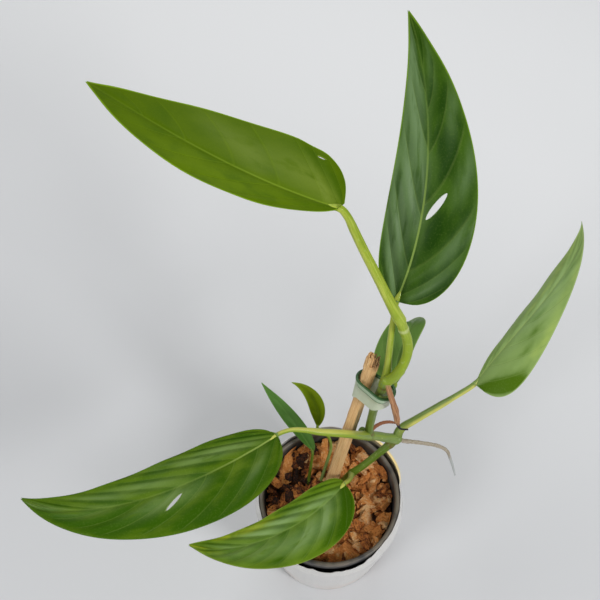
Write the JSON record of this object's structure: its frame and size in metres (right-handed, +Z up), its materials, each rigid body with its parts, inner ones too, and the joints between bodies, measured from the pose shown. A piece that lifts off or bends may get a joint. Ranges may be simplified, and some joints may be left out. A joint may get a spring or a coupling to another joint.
{
  "type": "potted monstera obliqua",
  "caption": "Climbing vine with broad pointed leaves, some slit, on long arched petioles, tied to a leaning split-wood stake in a round black nursery pot with a torn film sleeve",
  "frame": {"origin": "middle of the pot's base, on the surface it stands on", "axes": "+Z up; -Y is the front, where the sleeve is torn low; the stake leans towards +X and +Y"},
  "size_m": [0.304, 0.21, 0.2998],
  "materials": {
    "black_plastic": "satin black",
    "pale_film": "thin and slightly glossy",
    "coconut_husk": "rough and fibrous",
    "split_wood": "raw, split along the grain",
    "milky_plastic": "translucent",
    "stem_green": "smooth, waxy plant skin",
    "young_leaf_green": "glossy young leaf",
    "leaf_green": "glossy leaf",
    "root_brown": "dull plant root",
    "dried_sheath_tan": "dry and papery"
  },
  "bodies": {
    "root": {"pot": "black_plastic", "sleeve": "pale_film", "substrate": "coconut_husk", "stake": "split_wood", "tie": "milky_plastic", "stem": "stem_green", "leaf_1": "young_leaf_green", "leaf_2": "leaf_green", "leaf_3": "leaf_green", "leaf_4": "leaf_green", "leaf_5": "leaf_green", "leaf_6": "leaf_green", "small_leaf_1": "leaf_green", "small_leaf_2": "leaf_green", "aerial_root_1": "root_brown", "aerial_root_2": "root_brown", "dried_sheath": "dried_sheath_tan"}
  },
  "joints": []
}
